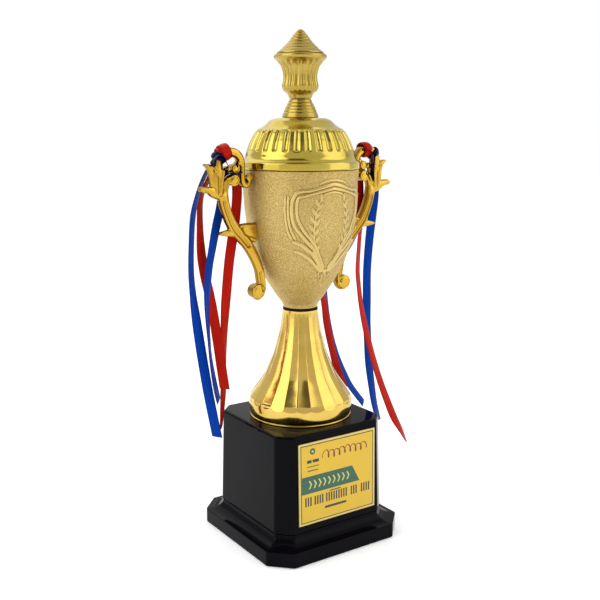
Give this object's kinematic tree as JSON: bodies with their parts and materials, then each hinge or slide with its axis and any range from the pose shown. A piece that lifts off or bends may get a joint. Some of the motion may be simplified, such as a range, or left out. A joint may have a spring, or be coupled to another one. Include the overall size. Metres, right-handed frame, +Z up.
{
  "type": "cup trophy",
  "caption": "Lidded cup trophy on a fluted bell stem and weighted square plinth, with scrolled handles, a name plate and ribbons on each handle.",
  "frame": {"origin": "on the table, under the middle of the square foot", "axes": "+Z up the cup's axis, -Y out of the name plate, +X along the line of the handles"},
  "size_m": [0.1588, 0.1044, 0.33],
  "materials": {
    "gold_bright": "vacuum-metallised gold, mirror polish",
    "gold_pale": "vacuum-metallised pale gold, mirror polish",
    "gold_satin": "vacuum-metallised gold over a sand-grain texture",
    "gold_handle": "vacuum-metallised gold, soft gloss",
    "black_gloss": "moulded high gloss black",
    "plate_print": "printed yellow sheet under clear film",
    "felt_pad": "pressed felt",
    "concrete": "cast, rough",
    "zinc_steel": "zinc plated",
    "black_rubber": "matt",
    "satin_red": "woven satin ribbon",
    "satin_blue": "woven satin ribbon"
  },
  "bodies": {
    "plinth_and_cup": {"plinth_foot": "black_gloss", "plinth_block": "black_gloss", "bottom_pad": "felt_pad", "ballast_weight": "concrete", "name_plate": "plate_print", "rod_washer_lower": "zinc_steel", "rod_nut_lower": "zinc_steel", "rod_washer_upper": "zinc_steel", "rod_nut_upper": "zinc_steel", "tie_rod": "zinc_steel", "stem_bell": "gold_bright", "neck_gasket": "black_rubber", "cup_bowl": "gold_satin", "handle_left": "gold_handle", "handle_right": "gold_handle", "handle_screw_left": "zinc_steel", "handle_screw_right": "zinc_steel", "ribbon_loop_left_blue": "satin_blue", "ribbon_loop_left_red": "satin_red", "ribbon_loop_right_blue": "satin_blue", "ribbon_loop_right_red": "satin_red", "ribbon_tail_left_blue_outer": "satin_blue", "ribbon_tail_left_blue_inner": "satin_blue", "ribbon_tail_left_red_outer": "satin_red", "ribbon_tail_left_red_inner": "satin_red", "ribbon_tail_right_blue_outer": "satin_blue", "ribbon_tail_right_blue_inner": "satin_blue", "ribbon_tail_right_red_outer": "satin_red", "ribbon_tail_right_red_inner": "satin_red"},
    "lid": {"lid_dome": "gold_pale", "finial_base": "gold_pale", "finial_urn": "gold_pale", "finial_cap": "gold_pale", "finial_stud": "zinc_steel", "finial_washer": "zinc_steel", "finial_nut": "zinc_steel"}
  },
  "joints": [
    {"name": "lid_lift", "type": "slide", "parent": "plinth_and_cup", "child": "lid", "axis": [0, 0, 1], "range_m": [0, 0.08]}
  ]
}
